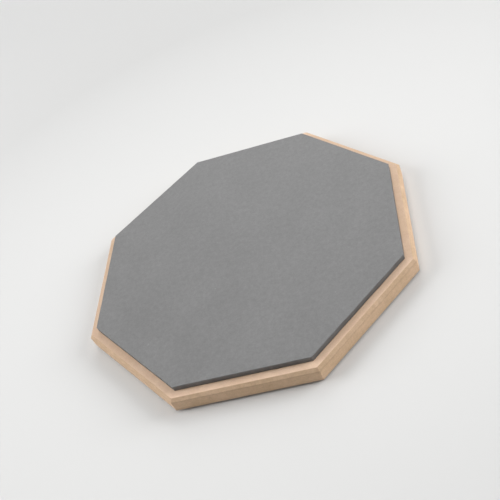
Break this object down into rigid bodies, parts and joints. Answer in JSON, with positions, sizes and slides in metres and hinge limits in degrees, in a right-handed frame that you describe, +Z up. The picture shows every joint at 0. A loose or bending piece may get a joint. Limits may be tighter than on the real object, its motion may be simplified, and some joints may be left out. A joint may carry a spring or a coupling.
{
  "type": "practice pad",
  "caption": "Octagonal drum practice pad: a grey gum rubber playing sheet glued on a chamfered fibreboard slab with a non-slip sheet under it.",
  "frame": {"origin": "centre of the face that the pad lies on, at the underside of the grip sheet", "axes": "+Z up through the playing surface; -Y towards the player, square to one of the eight sides; +X to the player's right, square to another side"},
  "size_m": [0.3048, 0.3048, 0.0221],
  "materials": {
    "grip_rubber": "thin sheet of solid matt black rubber, pressed with a fine pebble texture",
    "grip_glue": "cream pressure-sensitive film",
    "fibreboard": "raw medium-density fibreboard, sanded, no lacquer",
    "contact_glue": "dried amber contact adhesive",
    "gum_rubber": "matt grey gum rubber, very finely textured"
  },
  "bodies": {
    "root": {"grip_sheet": "grip_rubber", "grip_sheet_adhesive": "grip_glue", "base_board": "fibreboard", "playing_surface_adhesive": "contact_glue", "playing_surface": "gum_rubber"}
  },
  "joints": []
}
